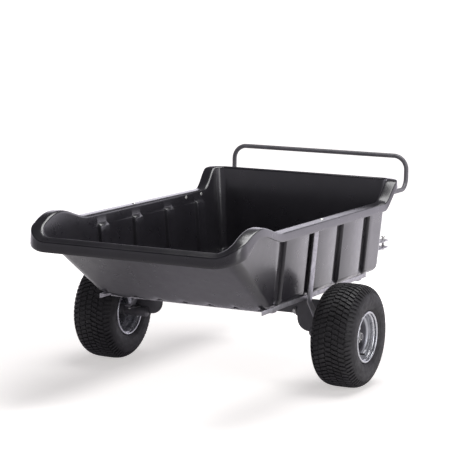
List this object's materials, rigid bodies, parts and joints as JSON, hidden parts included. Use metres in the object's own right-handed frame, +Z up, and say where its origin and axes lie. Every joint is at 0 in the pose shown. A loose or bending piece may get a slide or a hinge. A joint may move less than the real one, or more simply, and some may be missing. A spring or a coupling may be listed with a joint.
{
  "type": "all-terrain vehicle tipping trailer",
  "caption": "Tipping trailer for an all-terrain vehicle: moulded black tub with a sloping rear, push handle, wide turf tyres and a drawbar with a pin hitch.",
  "frame": {"origin": "on the ground, under the middle of the bounding box", "axes": "+Y forwards to the hitch, +Z up, +X to the trailer's right side"},
  "size_m": [1.4008, 2.8064, 0.932],
  "materials": {
    "black_polyethylene": "semi-gloss moulded polyethylene",
    "galvanised_steel": "dull galvanised",
    "dark_painted_steel": "satin dark grey powder coat",
    "zinc_fasteners": "bright zinc",
    "silver_painted_rim": "silver grey paint",
    "tyre_rubber": "matt black rubber",
    "buffer_rubber": "matt black rubber",
    "nylon_bush": "plain moulded"
  },
  "bodies": {
    "drawbar": {"drawbar_cross_tube": "dark_painted_steel", "drawbar_tube": "dark_painted_steel", "rest_buffer": "buffer_rubber", "hitch_strap_top": "galvanised_steel", "hitch_strap_bottom": "galvanised_steel", "hitch_bolt_1": "zinc_fasteners", "hitch_bolt_2": "zinc_fasteners", "stand_bracket": "dark_painted_steel", "stand_bolt": "zinc_fasteners", "drawbar_brace_right": "dark_painted_steel", "drawbar_brace_left": "dark_painted_steel", "pivot_lug_right": "dark_painted_steel", "pivot_lug_left": "dark_painted_steel"},
    "tipper": {"tub": "black_polyethylene", "side_rail_right": "galvanised_steel", "side_rail_left": "galvanised_steel", "strut_right": "galvanised_steel", "strut_left": "galvanised_steel", "cross_bar_front": "galvanised_steel", "cross_bar_rear": "galvanised_steel", "axle_hanger_right": "dark_painted_steel", "axle_hanger_left": "dark_painted_steel", "pivot_plate_right": "dark_painted_steel", "pivot_plate_left": "dark_painted_steel", "stub_axle_right": "dark_painted_steel", "stub_axle_left": "dark_painted_steel", "strut_saddle_right": "dark_painted_steel", "strut_saddle_left": "dark_painted_steel", "push_handle": "dark_painted_steel", "axle_beam": "dark_painted_steel", "handle_bolt_1_right": "zinc_fasteners", "handle_bolt_1_left": "zinc_fasteners", "handle_bolt_2_right": "zinc_fasteners", "handle_bolt_2_left": "zinc_fasteners", "floor_bolt_1_right": "zinc_fasteners", "floor_bolt_1_left": "zinc_fasteners", "floor_bolt_2_right": "zinc_fasteners", "floor_bolt_2_left": "zinc_fasteners", "strut_bolt_upper_right": "zinc_fasteners", "strut_bolt_upper_left": "zinc_fasteners", "strut_bolt_lower_right": "zinc_fasteners", "strut_bolt_lower_left": "zinc_fasteners", "pivot_bolt_right": "zinc_fasteners", "pivot_bolt_left": "zinc_fasteners", "pivot_nut_right": "zinc_fasteners", "pivot_nut_left": "zinc_fasteners", "axle_nut_right": "zinc_fasteners", "axle_nut_left": "zinc_fasteners"},
    "wheel_right": {"tyre_right": "tyre_rubber", "rim_right": "silver_painted_rim", "hub_right": "dark_painted_steel", "hub_bush_right": "nylon_bush"},
    "wheel_left": {"tyre_left": "tyre_rubber", "rim_left": "silver_painted_rim", "hub_left": "dark_painted_steel", "hub_bush_left": "nylon_bush"},
    "stand": {"stand_leg": "dark_painted_steel"},
    "pin": {"hitch_pin": "zinc_fasteners"}
  },
  "joints": [
    {"name": "tub_tip", "type": "hinge", "parent": "drawbar", "child": "tipper", "pos_m": [0, -0.44185, 0.305], "axis": [1, 0, 0], "range_deg": [0, 36]},
    {"name": "wheel_right_spin", "type": "hinge", "parent": "tipper", "child": "wheel_right", "pos_m": [0.598, -0.47685, 0.2285], "axis": [1, 0, 0], "continuous": true},
    {"name": "wheel_left_spin", "type": "hinge", "parent": "tipper", "child": "wheel_left", "pos_m": [-0.598, -0.47685, 0.2285], "axis": [1, 0, 0], "continuous": true},
    {"name": "stand_fold", "type": "hinge", "parent": "drawbar", "child": "stand", "pos_m": [0, 0.87315, 0.285], "axis": [-1, 0, 0], "range_deg": [0, 90]},
    {"name": "pin_lift", "type": "slide", "parent": "drawbar", "child": "pin", "axis": [0, 0, 1], "range_m": [0, 0.08]}
  ]
}
